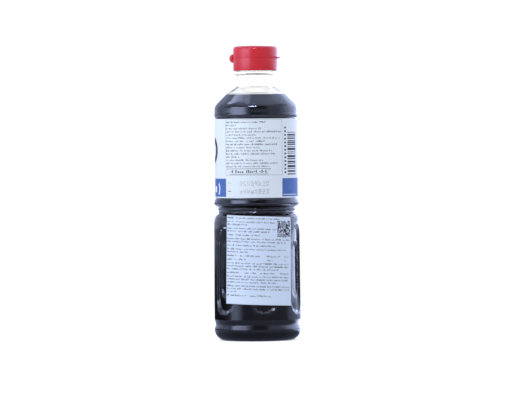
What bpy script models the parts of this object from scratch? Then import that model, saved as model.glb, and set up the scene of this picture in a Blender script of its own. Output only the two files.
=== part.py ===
"""A half-litre clear plastic bottle of dark soup sauce with a red flip-top cap.

Metres, +Z up. The origin is the centre of the base, on the surface the bottle stands on.
The side with the small print and the sticker faces -Y. Angles round the bottle are
measured from -Y towards +X.
"""

import bisect
import math

import bmesh
import bpy
from mathutils import Matrix

MM = 0.001
GAP = 0.3 * MM
SKIN_GAP = 0.2 * MM
BODY_STEPS = 48
INNER_STEPS = 36
CAP_STEPS = 40

# Outer radii of the bottle
BODY_RADIUS = 32.0 * MM
PANEL_ZONE_RADIUS = 31.6 * MM
LABEL_ZONE_RADIUS = 30.2 * MM
SHOULDER_RADIUS = 30.75 * MM
BEAD_RADIUS = 31.55 * MM
RIDGE_RADIUS = 28.5 * MM
WAIST_RADIUS = 27.7 * MM
NECK_RADIUS = 13.9 * MM
RING_RADIUS = 15.9 * MM
FINISH_RADIUS = 13.3 * MM
BORE_RADIUS = 11.7 * MM
WALL = 0.8 * MM

# Heights on the bottle
MOUTH_TOP = 207.2 * MM
RING_TOP = 199.4 * MM
RING_BOTTOM = 197.3 * MM
NECK_BOTTOM = 188.2 * MM
UPPER_CONE_BOTTOM = 182.8 * MM
SHOULDER_TOP = 176.9 * MM
SHOULDER_BOTTOM = 168.4 * MM
LABEL_ZONE_TOP = 165.4 * MM
LABEL_ZONE_BOTTOM = 104.7 * MM
BEAD_HEIGHT = 101.6 * MM
GROOVE_HEIGHT = 98.3 * MM
RIDGE_HEIGHT = 96.9 * MM
CREASE_HEIGHT = 93.9 * MM
PANEL_ZONE_TOP = 88.6 * MM
PANEL_ZONE_BOTTOM = 25.0 * MM
BAND_TOP = 22.5 * MM
BASE_GROOVE_TOP = 15.6 * MM
BASE_GROOVE_HEIGHT = 11.9 * MM
BASE_GROOVE_BOTTOM = 9.0 * MM
BASE_GROOVE_DEPTH = 0.95 * MM
BASE_CORNER_HEIGHT = 8.2 * MM
LIQUID_LEVEL = 182.45 * MM

# Shoulder and bead curves
UPPER_CONE_RADIUS = 21.75 * MM
SHOULDER_CONE_RADIUS = 27.6 * MM
BEAD_CURVE = 1.9 * MM

# Base
FOOT_OUTER_RADIUS = 23.9 * MM
FOOT_INNER_RADIUS = 21.0 * MM
PUSH_UP_HEIGHT = 4.5 * MM

# Recessed grip panels: an outer hollow and a deeper one in the middle of its floor
PANEL_COUNT = 6
FIRST_PANEL_DEG = 9.0
PANEL_MIDDLE = 52.6 * MM
OUTER_DEPTH = 1.8 * MM
OUTER_HALF_WIDTH = 10.4 * MM
OUTER_HALF_HEIGHT = 32.5 * MM
OUTER_WALL_SLOPE = 2.27
INNER_DEPTH = 0.9 * MM
INNER_HALF_WIDTH = 5.8 * MM
INNER_HALF_HEIGHT = 20.0 * MM
INNER_WALL_SLOPE = 1.3
PANEL_END_SEGMENTS = 6
CUTTER_MARGIN = 0.5 * MM

# Cap
CAP_RADIUS = 16.5 * MM
CAP_WALL = 1.2 * MM
CAP_BOTTOM = 200.05 * MM
CAP_PARTING = 209.3 * MM
CAP_TOP = 218.5 * MM
CAP_TOP_CORNER = 2.9 * MM
CAP_DOME = 0.5 * MM
DECK_THICKNESS = 1.4 * MM
TAB_DEG = 78.0
TAB_REACH = 18.9 * MM
TAB_CURVE_RADIUS = 10.5 * MM
TAB_THICKNESS = 1.3 * MM
HINGE_DEG = -105.0
HINGE_MIDDLE = 209.3 * MM
HINGE_REACH = 19.0 * MM
HINGE_HALF_HEIGHT = 3.3 * MM
HINGE_THICKNESS = 0.9 * MM
HINGE_WIDTH = 8.0 * MM

# Labels
LABEL_TOP = 164.2 * MM
LABEL_BOTTOM = 105.9 * MM
LABEL_THICKNESS = 0.25 * MM
STICKER_WIDTH = 54.0 * MM
STICKER_HEIGHT = 65.4 * MM
STICKER_MIDDLE = 59.8 * MM
STICKER_MIDDLE_DEG = 3.75
STICKER_TILT_DEG = -2.2
STICKER_THICKNESS = 0.25 * MM
STICKER_COLUMNS = 13
STICKER_TOP_ROWS = 6

RED_PLASTIC = ((0.55, 0.012, 0.035, 1.0), 0.35, 0.0)
CLEAR_PLASTIC = ((0.85, 0.9, 0.95, 1.0), 0.05, 0.9)
DARK_SAUCE = ((0.012, 0.007, 0.005, 1.0), 0.1, 0.0)
WHITE_PAPER = ((0.75, 0.8, 0.88, 1.0), 0.5, 0.0)
STICKER_PAPER = ((0.6, 0.68, 0.82, 1.0), 0.5, 0.0)


def clear_scene():
    """Remove the objects the file opened with."""
    for old in list(bpy.data.objects):
        bpy.data.objects.remove(old, do_unlink=True)


def new_collection(name):
    """Make a collection in the scene."""
    collection = bpy.data.collections.new(name)
    bpy.context.scene.collection.children.link(collection)
    return collection


def finish(name, look):
    """Make a Principled material from a colour, a roughness and a transmission."""
    colour, roughness, transmission = look
    material = bpy.data.materials.new(name)
    material.use_nodes = True
    shader = material.node_tree.nodes["Principled BSDF"]
    shader.inputs["Base Color"].default_value = colour
    shader.inputs["Roughness"].default_value = roughness
    shader.inputs["Metallic"].default_value = 0.0
    shader.inputs["Transmission Weight"].default_value = transmission
    return material


def place(name, mesh, collection):
    """Put a mesh in a collection as an object."""
    item = bpy.data.objects.new(name, mesh)
    collection.objects.link(item)
    return item


def hide_cutter(item):
    """Show a cutter as wires only."""
    item.hide_render = True
    item.display_type = "WIRE"
    return item


def turn(name, outline, steps, collection):
    """Turn an outline of (radius, height) points round the Z axis."""
    mesh = bpy.data.meshes.new(name)
    points = [(radius, 0.0, height) for radius, height in outline]
    edges = [(start, start + 1) for start in range(len(points) - 1)]
    mesh.from_pydata(points, edges, [])
    item = place(name, mesh, collection)
    screw = item.modifiers.new("turn", "SCREW")
    screw.axis = "Z"
    screw.angle = math.tau
    screw.steps = steps
    screw.render_steps = steps
    screw.use_merge_vertices = True
    screw.merge_threshold = 0.00001
    screw.use_smooth_shade = True
    return item


def combine(item, operation, other):
    """Cut an object by another, or join another to it."""
    boolean = item.modifiers.new(operation.lower(), "BOOLEAN")
    boolean.operation = operation
    boolean.solver = "EXACT"
    boolean.object = other
    return boolean


def arc(middle, radii, start_deg, end_deg, segments):
    """Points along an elliptical arc, as (radius, height) pairs."""
    points = []
    for index in range(segments + 1):
        angle = math.radians(start_deg + (end_deg - start_deg) * index / segments)
        across = middle[0] + radii[0] * math.cos(angle)
        up = middle[1] + radii[1] * math.sin(angle)
        points.append((across, up))
    return points


def shoulder_outline(segments):
    """The two cones of the shoulder and the round turn into the label zone."""
    rise = SHOULDER_TOP - SHOULDER_BOTTOM
    reach = SHOULDER_RADIUS - SHOULDER_CONE_RADIUS
    flare = math.sin(math.radians(45.0))
    radii = (reach / (1.0 - flare), rise / flare)
    middle = (SHOULDER_RADIUS - radii[0], SHOULDER_BOTTOM)
    points = [(NECK_RADIUS, NECK_BOTTOM), (UPPER_CONE_RADIUS, UPPER_CONE_BOTTOM)]
    points += arc(middle, radii, 45.0, 0.0, segments)
    return points


def waist_outline():
    """The groove, the ridge and the crease between the two halves of the body."""
    return [
        (WAIST_RADIUS - 0.4 * MM, GROOVE_HEIGHT),
        (RIDGE_RADIUS, RIDGE_HEIGHT + 0.4 * MM),
        (RIDGE_RADIUS, RIDGE_HEIGHT - 0.4 * MM),
        (WAIST_RADIUS, CREASE_HEIGHT + 1.2 * MM),
    ]


def base_outline(segments):
    """The round corner down to the foot ring, and the hollow under the base."""
    corner = (BODY_RADIUS - FOOT_OUTER_RADIUS, BASE_CORNER_HEIGHT)
    points = arc((FOOT_OUTER_RADIUS, BASE_CORNER_HEIGHT), corner, 0.0, -90.0, segments)
    points.append((FOOT_INNER_RADIUS, 0.0))
    dome = (FOOT_INNER_RADIUS - 1.5 * MM, PUSH_UP_HEIGHT)
    points += arc((0.0, 0.0), dome, 15.0, 90.0, segments // 2 + 1)
    return points


def body_outline(segments, plain):
    """The outline from the foot of the neck to the middle of the underside."""
    points = shoulder_outline(segments)
    points.append((LABEL_ZONE_RADIUS, LABEL_ZONE_TOP))
    points.append((LABEL_ZONE_RADIUS, LABEL_ZONE_BOTTOM))
    points.append((BEAD_RADIUS - 0.7 * MM, BEAD_HEIGHT + 1.9 * MM))
    bead_middle = (BEAD_RADIUS - BEAD_CURVE, BEAD_HEIGHT)
    points += arc(bead_middle, (BEAD_CURVE, BEAD_CURVE), 0.0, -75.0, segments // 2)
    if plain:
        points.append((WAIST_RADIUS, GROOVE_HEIGHT))
    else:
        points += waist_outline()
    turn_radii = (PANEL_ZONE_RADIUS - WAIST_RADIUS, CREASE_HEIGHT - PANEL_ZONE_TOP)
    points += arc((WAIST_RADIUS, PANEL_ZONE_TOP), turn_radii, 90.0, 0.0, segments)
    points.append((PANEL_ZONE_RADIUS, PANEL_ZONE_BOTTOM))
    points.append((BODY_RADIUS, BAND_TOP))
    points.append((BODY_RADIUS, BASE_GROOVE_TOP))
    points.append((BODY_RADIUS - BASE_GROOVE_DEPTH, BASE_GROOVE_HEIGHT))
    points.append((BODY_RADIUS, BASE_GROOVE_BOTTOM))
    points += base_outline(segments)
    return points


def inset(outline, distance):
    """Move an outline inwards by a distance, square to its own run."""
    moved = []
    for index, (radius, height) in enumerate(outline):
        before = outline[max(index - 1, 0)]
        after = outline[min(index + 1, len(outline) - 1)]
        across = after[0] - before[0]
        down = after[1] - before[1]
        length = math.hypot(across, down)
        moved.append((radius + down / length * distance, height - across / length * distance))
    moved[-1] = (0.0, outline[-1][1] + distance)
    return moved


def radius_at(outline, height):
    """Radius of a falling outline at a height."""
    heights = [-point[1] for point in outline]
    index = min(max(bisect.bisect_left(heights, -height), 1), len(outline) - 1)
    upper = outline[index - 1]
    lower = outline[index]
    share = (upper[1] - height) / (upper[1] - lower[1])
    return upper[0] + share * (lower[0] - upper[0])


def stadium(radius, straight_half, segments):
    """Points round two half circles joined by straight sides."""
    points = []
    for side in (1.0, -1.0):
        for index in range(segments + 1):
            angle = math.pi * index / segments
            across = side * radius * math.cos(angle)
            up = side * (straight_half + radius * math.sin(angle))
            points.append((across, up))
    return points


def panel_cutter(name, level, floor_radius, reach, grow, steps, collection):
    """Six tapered stadium blocks standing out from a core of the floor's radius."""
    half_width, half_height, slope, edge_radius = level
    edge_height = math.sqrt(edge_radius**2 - half_width**2)
    straight_half = half_height - half_width - slope * (edge_radius - edge_height)
    spread = grow * math.sqrt(1.0 + slope**2)
    mesh = bpy.data.meshes.new(name)
    blocks = bmesh.new()
    for index in range(PANEL_COUNT):
        angle = math.radians(FIRST_PANEL_DEG + index * 360.0 / PANEL_COUNT)
        spin = Matrix.Rotation(angle, 4, "Z")
        rings = []
        for distance in (floor_radius - 2.0 * MM, reach):
            radius = half_width + slope * (distance - edge_height) + spread
            ring = []
            for across, up in stadium(radius, straight_half, PANEL_END_SEGMENTS):
                corner = spin @ Matrix.Translation((across, -distance, PANEL_MIDDLE + up))
                ring.append(blocks.verts.new(corner.translation))
            rings.append(ring)
        ends = [blocks.faces.new(ring) for ring in rings]
        edges = [edge for end in ends for edge in end.edges]
        bmesh.ops.bridge_loops(blocks, edges=edges)
    bmesh.ops.recalc_face_normals(blocks, faces=blocks.faces)
    blocks.to_mesh(mesh)
    blocks.free()
    cutter = hide_cutter(place(name, mesh, collection))
    bpy.ops.mesh.primitive_cylinder_add(
        vertices=steps,
        radius=floor_radius,
        depth=3.0 * OUTER_HALF_HEIGHT,
        location=(0.0, 0.0, PANEL_MIDDLE),
    )
    core = bpy.context.object
    core.name = name + "_core"
    for home in list(core.users_collection):
        home.objects.unlink(core)
    collection.objects.link(core)
    hide_cutter(core)
    combine(cutter, "DIFFERENCE", core)
    return cutter


def carve_panels(item, depth_in, steps, cutters):
    """Cut the grip panels into a turned solid that lies some depth inside the outside."""
    reach = BODY_RADIUS - depth_in + CUTTER_MARGIN
    outer_floor = PANEL_ZONE_RADIUS - OUTER_DEPTH
    inner_floor = outer_floor - INNER_DEPTH
    outer = (OUTER_HALF_WIDTH, OUTER_HALF_HEIGHT, OUTER_WALL_SLOPE, PANEL_ZONE_RADIUS)
    inner = (INNER_HALF_WIDTH, INNER_HALF_HEIGHT, INNER_WALL_SLOPE, outer_floor)
    hollow = panel_cutter(
        item.name + "_hollow", outer, outer_floor - depth_in, reach, depth_in, steps, cutters
    )
    combine(item, "DIFFERENCE", hollow)
    reach = outer_floor - depth_in + CUTTER_MARGIN
    deep = panel_cutter(
        item.name + "_deep", inner, inner_floor - depth_in, reach, depth_in, steps, cutters
    )
    combine(item, "DIFFERENCE", deep)


def make_cavity(cutters):
    """The space inside the bottle, up through the mouth."""
    outline = inset(body_outline(3, True), WALL)
    throat = [
        (0.0, MOUTH_TOP + 2.0 * MM),
        (BORE_RADIUS, MOUTH_TOP + 2.0 * MM),
        (BORE_RADIUS, NECK_BOTTOM + 1.5 * MM),
    ]
    cavity = turn("cavity", throat + outline, INNER_STEPS, cutters)
    hide_cutter(cavity)
    carve_panels(cavity, WALL, INNER_STEPS, cutters)
    return cavity


def make_bottle(parts, cutters):
    """The clear bottle, open at its mouth under the cap."""
    chamfer = 0.5 * MM
    finish_outline = [
        (0.0, MOUTH_TOP),
        (FINISH_RADIUS, MOUTH_TOP),
        (FINISH_RADIUS, RING_TOP),
        (RING_RADIUS - chamfer, RING_TOP),
        (RING_RADIUS, RING_TOP - chamfer),
        (RING_RADIUS, RING_BOTTOM + chamfer),
        (NECK_RADIUS, RING_BOTTOM),
    ]
    outline = finish_outline + body_outline(5, False)
    bottle = turn("bottle", outline, BODY_STEPS, parts)
    carve_panels(bottle, 0.0, BODY_STEPS, cutters)
    combine(bottle, "DIFFERENCE", make_cavity(cutters))
    bottle.data.materials.append(finish("clear_plastic", CLEAR_PLASTIC))
    return bottle


def make_sauce(parts, cutters):
    """The sauce, as deep as it stands in the bottle."""
    outline = inset(body_outline(3, True), WALL + GAP)
    surface_radius = radius_at(outline[:3], LIQUID_LEVEL)
    below = [point for point in outline if point[1] < LIQUID_LEVEL]
    top = [(0.0, LIQUID_LEVEL), (surface_radius, LIQUID_LEVEL)]
    sauce = turn("sauce", top + below, INNER_STEPS, parts)
    carve_panels(sauce, WALL + GAP, INNER_STEPS, cutters)
    sauce.data.materials.append(finish("dark_sauce", DARK_SAUCE))
    return sauce


def hinge_strap(cutters):
    """The folded hinge, a strap that arches out from the side of the cap."""
    root = CAP_RADIUS - 0.7 * MM
    outer = arc((root, HINGE_MIDDLE), (HINGE_REACH - root, HINGE_HALF_HEIGHT), -90.0, 90.0, 12)
    inner_radii = (HINGE_REACH - HINGE_THICKNESS - root, HINGE_HALF_HEIGHT - HINGE_THICKNESS)
    inner = arc((root, HINGE_MIDDLE), inner_radii, 90.0, -90.0, 12)
    mesh = bpy.data.meshes.new("hinge_strap")
    strap = bmesh.new()
    corners = [strap.verts.new((-HINGE_WIDTH / 2.0, -out, up)) for out, up in outer + inner]
    side = strap.faces.new(corners)
    swept = bmesh.ops.extrude_face_region(strap, geom=[side])
    moved = [item for item in swept["geom"] if isinstance(item, bmesh.types.BMVert)]
    bmesh.ops.translate(strap, vec=(HINGE_WIDTH, 0.0, 0.0), verts=moved)
    bmesh.ops.recalc_face_normals(strap, faces=strap.faces)
    strap.to_mesh(mesh)
    strap.free()
    item = hide_cutter(place("hinge_strap", mesh, cutters))
    item.rotation_euler.z = math.radians(HINGE_DEG)
    room = [
        (0.0, CAP_TOP),
        (CAP_RADIUS + GAP, CAP_TOP),
        (CAP_RADIUS + GAP, CAP_PARTING - GAP),
        (0.0, CAP_PARTING - GAP),
    ]
    lid_room = hide_cutter(turn("lid_room", room, CAP_STEPS, cutters))
    combine(item, "DIFFERENCE", lid_room)
    return item


def make_cap_base(parts, cutters):
    """The skirt of the cap with its plain deck and the folded hinge."""
    top = CAP_PARTING - GAP
    corner = 0.4 * MM
    outline = [
        (0.0, top),
        (CAP_RADIUS - corner, top),
        (CAP_RADIUS, top - corner),
        (CAP_RADIUS, CAP_BOTTOM + corner),
        (CAP_RADIUS - corner, CAP_BOTTOM),
        (CAP_RADIUS - CAP_WALL, CAP_BOTTOM),
        (CAP_RADIUS - CAP_WALL, top - DECK_THICKNESS),
        (0.0, top - DECK_THICKNESS),
    ]
    base = turn("cap_base", outline, CAP_STEPS, parts)
    combine(base, "UNION", hinge_strap(cutters))
    base.data.materials.append(finish("red_plastic", RED_PLASTIC))
    return base


def make_cap_lid(parts, cutters):
    """The lid of the cap, a shallow cup with a round edge and a thumb tab."""
    corner = (CAP_TOP_CORNER, CAP_TOP_CORNER)
    shoulder = (CAP_RADIUS - CAP_TOP_CORNER, CAP_TOP - CAP_DOME - CAP_TOP_CORNER)
    outline = [(0.0, CAP_TOP), (shoulder[0] * 0.6, CAP_TOP - CAP_DOME * 0.35)]
    outline += arc(shoulder, corner, 86.0, 0.0, 5)
    outline.append((CAP_RADIUS, CAP_PARTING))
    outline.append((0.0, CAP_PARTING))
    lid = turn("cap_lid", outline, CAP_STEPS, parts)
    bpy.ops.mesh.primitive_cylinder_add(
        vertices=CAP_STEPS, radius=TAB_CURVE_RADIUS, depth=TAB_THICKNESS
    )
    tab = bpy.context.object
    tab.name = "thumb_tab"
    for home in list(tab.users_collection):
        home.objects.unlink(tab)
    cutters.objects.link(tab)
    out = TAB_REACH - TAB_CURVE_RADIUS
    angle = math.radians(TAB_DEG)
    tab.location = (out * math.sin(angle), -out * math.cos(angle), CAP_PARTING + TAB_THICKNESS / 2.0)
    combine(lid, "UNION", hide_cutter(tab))
    inside = CAP_RADIUS - CAP_WALL
    room = [
        (0.0, CAP_TOP - CAP_DOME - CAP_WALL),
        (inside - CAP_WALL, CAP_TOP - CAP_DOME - CAP_WALL),
        (inside, CAP_TOP - CAP_DOME - 2.0 * CAP_WALL),
        (inside, CAP_PARTING - CAP_WALL),
        (0.0, CAP_PARTING - CAP_WALL),
    ]
    lid_hollow = hide_cutter(turn("lid_hollow", room, CAP_STEPS, cutters))
    combine(lid, "DIFFERENCE", lid_hollow)
    lid.data.materials.append(finish("red_plastic_lid", RED_PLASTIC))
    return lid


def make_wrap_label(parts):
    """The label that wraps all round the upper half of the body."""
    radius = LABEL_ZONE_RADIUS + SKIN_GAP
    label = turn("wrap_label", [(radius, LABEL_TOP), (radius, LABEL_BOTTOM)], BODY_STEPS, parts)
    thicken(label, LABEL_THICKNESS)
    label.data.materials.append(finish("label_film", WHITE_PAPER))
    return label


def thicken(item, thickness):
    """Give an open surface its thickness on the outer side."""
    solidify = item.modifiers.new("thickness", "SOLIDIFY")
    solidify.thickness = thickness
    solidify.offset = 1.0
    solidify.use_even_offset = True


def make_back_sticker(parts):
    """The paper sticker on the lower half, stuck on a little askew."""
    outline = [point for point in body_outline(5, False) if PANEL_ZONE_BOTTOM <= point[1]]
    outline = [point for point in outline if point[1] <= CREASE_HEIGHT]
    radius = PANEL_ZONE_RADIUS + SKIN_GAP
    tilt = math.radians(STICKER_TILT_DEG)
    mesh = bpy.data.meshes.new("back_sticker")
    sheet = bmesh.new()
    bmesh.ops.create_grid(
        sheet, x_segments=STICKER_COLUMNS, y_segments=STICKER_TOP_ROWS + 1, size=0.5
    )
    curved_height = 6.0 * MM
    for corner in sheet.verts:
        row = round((corner.co.y + 0.5) * (STICKER_TOP_ROWS + 1))
        along = STICKER_WIDTH * corner.co.x
        up = -STICKER_HEIGHT / 2.0
        if row > 0:
            step = curved_height / STICKER_TOP_ROWS
            up = STICKER_HEIGHT / 2.0 - curved_height + step * (row - 1)
        height = STICKER_MIDDLE + up * math.cos(tilt) + along * math.sin(tilt)
        angle = math.radians(STICKER_MIDDLE_DEG)
        angle += (along * math.cos(tilt) - up * math.sin(tilt)) / radius
        out = radius_at(outline, height) + SKIN_GAP
        corner.co = (out * math.sin(angle), -out * math.cos(angle), height)
    sheet.to_mesh(mesh)
    sheet.free()
    sticker = place("back_sticker", mesh, parts)
    thicken(sticker, STICKER_THICKNESS)
    sticker.data.materials.append(finish("sticker_paper", STICKER_PAPER))
    return sticker


def main():
    """Build the bottle and everything on it."""
    clear_scene()
    parts = new_collection("tsuyu_bottle")
    cutters = new_collection("cutters")
    base_centre = bpy.data.objects.new("base_centre", None)
    parts.objects.link(base_centre)
    pieces = [
        make_bottle(parts, cutters),
        make_sauce(parts, cutters),
        make_cap_base(parts, cutters),
        make_cap_lid(parts, cutters),
        make_wrap_label(parts),
        make_back_sticker(parts),
    ]
    for piece in pieces:
        piece.parent = base_centre


main()
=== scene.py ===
"""Looks for a half-litre clear bottle of dark soup sauce with a red flip-top cap.

Metres, +Z up. The side with the small print and the sticker faces -Y. Angles round the
bottle are measured from -Y towards +X, and print is laid out in arc lengths from -Y.
"""

import math
import random

import bmesh
import bpy
from mathutils import Matrix, Vector


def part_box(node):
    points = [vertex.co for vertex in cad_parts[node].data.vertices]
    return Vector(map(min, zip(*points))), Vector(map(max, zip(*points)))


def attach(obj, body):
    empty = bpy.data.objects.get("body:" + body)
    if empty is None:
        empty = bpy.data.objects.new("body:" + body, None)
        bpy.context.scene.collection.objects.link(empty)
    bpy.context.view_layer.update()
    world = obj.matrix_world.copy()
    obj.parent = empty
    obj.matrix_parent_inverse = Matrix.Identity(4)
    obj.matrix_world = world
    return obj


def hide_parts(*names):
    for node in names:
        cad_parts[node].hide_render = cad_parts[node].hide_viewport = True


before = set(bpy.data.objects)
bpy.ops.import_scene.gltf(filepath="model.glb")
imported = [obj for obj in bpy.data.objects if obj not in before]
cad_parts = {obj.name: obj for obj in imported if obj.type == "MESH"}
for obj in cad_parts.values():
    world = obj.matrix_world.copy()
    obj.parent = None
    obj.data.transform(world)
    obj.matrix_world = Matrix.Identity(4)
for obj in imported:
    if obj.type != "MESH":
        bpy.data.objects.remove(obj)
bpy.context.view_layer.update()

MM = 0.001

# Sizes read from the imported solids
BODY_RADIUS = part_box("bottle")[1][0]
MOUTH_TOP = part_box("bottle")[1][2]
LABEL_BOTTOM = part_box("wrap_label")[0][2]
LABEL_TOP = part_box("wrap_label")[1][2] + 0.2 * MM
LABEL_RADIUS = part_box("wrap_label")[1][0] - 0.03 * MM
LIQUID_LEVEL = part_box("sauce")[1][2] - 0.15 * MM
CAP_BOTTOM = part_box("cap_base")[0][2]
CAP_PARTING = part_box("cap_lid")[0][2]
CAP_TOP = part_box("cap_lid")[1][2]

# Bottle
PANEL_ZONE_RADIUS = 31.75 * MM
LABEL_ZONE_RADIUS = 30.2 * MM
SHOULDER_RADIUS = 30.75 * MM
NECK_RADIUS = 13.9 * MM
RING_RADIUS = 15.9 * MM
FINISH_RADIUS = 13.3 * MM
BORE_RADIUS = 11.7 * MM
FOOT_OUTER_RADIUS = 23.9 * MM
FOOT_INNER_RADIUS = 21.0 * MM
PUSH_UP_HEIGHT = 4.5 * MM
BASE_CORNER_HEIGHT = 8.2 * MM
NECK_BOTTOM = 188.2 * MM
WALL = 0.45 * MM
WAIST_MIDDLE = 94.0 * MM

# Corners of the waist in millimetres, downwards: radius, height and fillet radius
WAIST_CORNERS = (
    (30.9, 104.4, 0.5), (31.5, 102.0, 0.8), (31.4, 101.2, 0.9), (30.4, 100.1, 0.9),
    (28.1, 98.6, 0.35), (28.6, 97.7, 0.35), (28.3, 96.7, 0.35), (27.8, 96.0, 0.3),
    (28.3, 95.2, 0.3), (28.3, 94.8, 0.3), (27.8, 94.2, 0.3), (29.9, 92.7, 0.9),
    (31.0, 91.2, 1.4), (31.6, 88.6, 2.6),
)

# Recessed grip panels
PANEL_COUNT = 6
FIRST_PANEL_DEG = 9.0
PANEL_MIDDLE = 52.6 * MM
OUTER_DEPTH = 1.8 * MM
OUTER_HALF_WIDTH = 10.4 * MM
OUTER_HALF_HEIGHT = 32.5 * MM
OUTER_WALL = 1.6 * MM
OUTER_END_WALL = 1.4 * MM
INNER_DEPTH = 0.95 * MM
INNER_HALF_WIDTH = 5.8 * MM
INNER_HALF_HEIGHT = 20.0 * MM
INNER_WALL = 1.1 * MM
INNER_END_WALL = 1.0 * MM
HALF_SECTOR_STOPS = ((0.0, 8.2, 4), (8.2, 10.8, 5), (10.8, 15.6, 3), (15.6, 19.2, 5), (19.2, 30.0, 3))

# Spacing of mesh rows, with distances from the panels' middle for their round ends
FINE_STEP = 0.8 * MM
COARSE_STEP = 3.5 * MM
STRAIGHT_STEP = 9.0 * MM
LONG_RUN = 10.0 * MM
ROUND_ENDS = (13.0 * MM, OUTER_HALF_HEIGHT + 1.0 * MM)
ROUND_END_CUTS = (13.2 * MM, OUTER_HALF_HEIGHT + 0.8 * MM)

# Cap
CAP_RADIUS = 16.5 * MM
CAP_WALL = 1.2 * MM
CAP_TOP_CORNER = 2.9 * MM
CAP_DOME = 0.5 * MM
CAP_COLUMNS = 144
DECK_THICKNESS = 1.4 * MM
LID_GAP = 0.04 * MM
TAB_DEG = 78.0
TAB_HALF_SPREAD_DEG = 32.0
TAB_STEPS = 40
TAB_DROP = 0.4 * MM
TAB_REACH = 18.9 * MM
TAB_CURVE_RADIUS = 10.5 * MM
TAB_THICKNESS = 1.7 * MM
HINGE_DEG = -105.0
HINGE_MIDDLE = 209.3 * MM
HINGE_REACH = 19.0 * MM
HINGE_HALF_HEIGHT = 3.3 * MM
HINGE_THICKNESS = 2.4 * MM
HINGE_WIDTH = 8.0 * MM
HINGE_STEPS = 24
HINGE_WEB_SHARE = 0.9

# Label and sticker
LABEL_COLUMNS = 240
LABEL_GAP = 0.05 * MM
STICKER_WIDTH = 53.2 * MM
STICKER_HEIGHT = 65.4 * MM
STICKER_MIDDLE = 59.8 * MM
STICKER_MIDDLE_DEG = 3.05
STICKER_TILT_DEG = -2.2
STICKER_LEAN_DEG = -0.9
STICKER_THICKNESS = 0.12 * MM
STICKER_GAP = 0.04 * MM
STICKER_CELLS = 60
STICKER_SPAN_TOP = 89.0 * MM

# Ink
INK_LIFT = 0.03 * MM
INK_DEPTH = 0.02 * MM
INK_STEP = 2.0 * MM
INK_STEP_DEG = 6.0

# Camera
CAMERA_DISTANCE = 3.0
CAMERA_ACROSS = -0.45 * MM
CAMERA_HEIGHT = 149.0 * MM
AIM_HEIGHT = 104.0 * MM
PICTURE_WIDTH = 380.6 * MM
SENSOR_WIDTH = 36.0
CAMERA_ROLL_DEG = -0.52


def new_object(name, mesh):
    """Put a mesh in the scene."""
    item = bpy.data.objects.new(name, mesh)
    bpy.context.scene.collection.objects.link(item)
    return item


def declare(item, node, material):
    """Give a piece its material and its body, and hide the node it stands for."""
    item.data.materials.clear()
    item.data.materials.append(material)
    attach(item, "root")
    if node:
        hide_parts(node)
    return item


# Outlines

def arc(middle, radii, start_deg, end_deg, segments):
    """Points along an elliptical arc, as (radius, height) pairs."""
    points = []
    for index in range(segments + 1):
        angle = math.radians(start_deg + (end_deg - start_deg) * index / segments)
        across = middle[0] + radii[0] * math.cos(angle)
        up = middle[1] + radii[1] * math.sin(angle)
        points.append((across, up))
    return points


def rounded(corners, segments=6):
    """An outline through corners given as (radius, height, fillet radius)."""
    points = []
    for index, (across, up, fillet) in enumerate(corners):
        here = Vector((across, up))
        if index in (0, len(corners) - 1) or fillet == 0.0:
            points.append((across, up))
            continue
        to_before = Vector(corners[index - 1][:2]) - here
        to_after = Vector(corners[index + 1][:2]) - here
        half = to_before.angle(to_after) / 2.0
        run = min(fillet / math.tan(half), to_before.length * 0.49, to_after.length * 0.49)
        start = here + to_before.normalized() * run
        end = here + to_after.normalized() * run
        for step in range(segments + 1):
            share = step / segments
            low = start.lerp(here, share)
            high = here.lerp(end, share)
            point = low.lerp(high, share)
            points.append((point.x, point.y))
    return points


def refine(outline, share_of_detail=1.0):
    """Split the long runs of an outline, most finely where the grip panels have their round ends."""
    points = [outline[0]]
    for before, after in zip(outline, outline[1:]):
        middle = abs((before[1] + after[1]) / 2.0 - PANEL_MIDDLE)
        length = math.dist(before, after)
        if length > LONG_RUN and after[1] < PANEL_MIDDLE:
            points += refine(panel_run(before, after), share_of_detail)[1:]
            continue
        round_ends = ROUND_ENDS[0] < middle < ROUND_ENDS[1]
        longest = (FINE_STEP if round_ends else COARSE_STEP) / share_of_detail
        pieces = max(1, math.ceil(length / longest))
        for piece in range(1, pieces + 1):
            share = piece / pieces
            points.append(tuple(a + (b - a) * share for a, b in zip(before, after)))
    return points


def panel_run(top, bottom):
    """The straight side of the panel zone, cut where the panels' round ends start and stop."""
    near, far = ROUND_END_CUTS
    cuts = [PANEL_MIDDLE + distance for distance in (far, near, -near, -far)]
    stops = [top[1]] + [cut for cut in cuts if top[1] > cut > bottom[1]] + [bottom[1]]
    heights = []
    for before, after in zip(stops, stops[1:]):
        pieces = max(1, math.ceil((before - after) / STRAIGHT_STEP))
        heights += [before + (after - before) * piece / pieces for piece in range(pieces)]
    heights.append(bottom[1])
    lean = (bottom[0] - top[0]) / (top[1] - bottom[1])
    return [(top[0] + lean * (top[1] - height), height) for height in heights]


def below_level(outline, level):
    """The part of a downward outline below a level, with a point on the level itself."""
    points = []
    for before, after in zip(outline, outline[1:]):
        if before[1] > level >= after[1]:
            share = (before[1] - level) / (before[1] - after[1])
            points.append((before[0] + share * (after[0] - before[0]), level))
        if after[1] < level and points:
            points.append(after)
    return points


def inset(outline, distance):
    """Move an outline inwards by a distance, square to its own run."""
    moved = []
    for index, (radius, height) in enumerate(outline):
        before = outline[max(index - 1, 0)]
        after = outline[min(index + 1, len(outline) - 1)]
        across = after[0] - before[0]
        down = after[1] - before[1]
        length = math.hypot(across, down)
        moved.append((radius + down / length * distance, height - across / length * distance))
    return moved


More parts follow.
